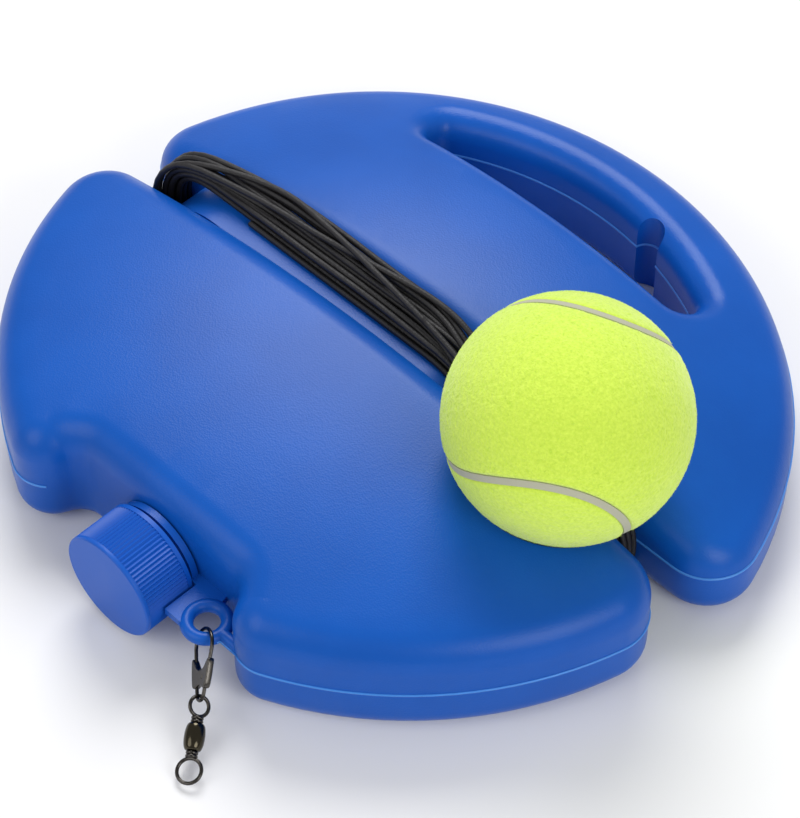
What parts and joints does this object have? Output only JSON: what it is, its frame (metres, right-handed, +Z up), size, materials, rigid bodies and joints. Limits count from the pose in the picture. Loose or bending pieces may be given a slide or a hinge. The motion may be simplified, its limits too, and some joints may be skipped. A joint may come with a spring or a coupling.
{
  "type": "tennis trainer base",
  "caption": "Hollow weighted base with two rounded lobes, a handle slot and a screw filler cap, an elastic cord wound round its waist, a felt ball and a snap swivel.",
  "frame": {"origin": "centre of the bounding box's bottom face, on the ground", "axes": "+Z up from the ground, +Y from the filler cap towards the carrying handle, +X along the groove towards the ball"},
  "size_m": [0.225, 0.2328, 0.0938],
  "materials": {
    "shell_plastic": "blow-moulded polyethylene, satin with a fine leather grain",
    "cap_plastic": "moulded polyethylene, fine axial ribs and a smooth flat face",
    "liner_foam": "closed-cell foam",
    "cord_sheath": "braided black sheath over elastic",
    "washer_plastic": "plain",
    "core_rubber": "moulded rubber",
    "felt": "brushed yellow-green felt",
    "seam_rubber": "matt vulcanised seam",
    "nickel_wire": "black nickel plated wire",
    "nickel_sheet": "black nickel plated folded sheet",
    "dark_brass": "oxidised brass, polished by use"
  },
  "bodies": {
    "base": {"base_shell": "shell_plastic", "cord_winding": "cord_sheath", "cord_tail": "cord_sheath"},
    "ball": {"core_half_a": "core_rubber", "core_half_b": "core_rubber", "felt_panel_a": "felt", "felt_panel_b": "felt", "ball_seam": "seam_rubber", "ball_knot": "cord_sheath", "knot_washer": "washer_plastic"},
    "liner": {"cap_liner": "liner_foam"},
    "cap": {"filler_cap": "cap_plastic"},
    "snap": {"snap_wire": "nickel_wire", "snap_clasp": "nickel_sheet"},
    "upper_eye": {"swivel_upper_eye": "nickel_wire"},
    "barrel": {"swivel_barrel": "dark_brass"},
    "lower_eye": {"swivel_lower_eye": "nickel_wire"}
  },
  "joints": [
    {"name": "ball_lift", "type": "slide", "parent": "base", "child": "ball", "axis": [0, 0, 1], "range_m": [0, 0.06]},
    {"name": "cap_travel", "type": "slide", "parent": "base", "child": "liner", "axis": [0, -1, 0], "range_m": [0, 0.006]},
    {"name": "cap_turn", "type": "hinge", "parent": "liner", "child": "cap", "pos_m": [-0.00244, -0.08695, 0.017], "axis": [0, -1, 0], "range_deg": [0, 540]},
    {"name": "snap_swing", "type": "hinge", "parent": "base", "child": "snap", "pos_m": [0.02788, -0.08835, 0.017], "axis": [-0.7592, -0.6509, 0], "range_deg": [0, 45]},
    {"name": "swivel_pitch", "type": "hinge", "parent": "snap", "child": "upper_eye", "pos_m": [0.0367, -0.09864, 0.00942], "axis": [-0.6677, -0.0354, -0.7436], "range_deg": [0, 25]},
    {"name": "barrel_spin", "type": "hinge", "parent": "upper_eye", "child": "barrel", "pos_m": [0.03781, -0.09993, 0.00848], "axis": [0.5666, -0.7534, -0.3337], "continuous": true},
    {"name": "lower_eye_spin", "type": "hinge", "parent": "barrel", "child": "lower_eye", "pos_m": [0.03781, -0.09993, 0.00848], "axis": [0.5666, -0.7534, -0.3337], "continuous": true}
  ],
  "couplings": [
    {"joint": "cap_travel", "follows": "cap_turn", "m_per_rad": 0.00063662}
  ]
}
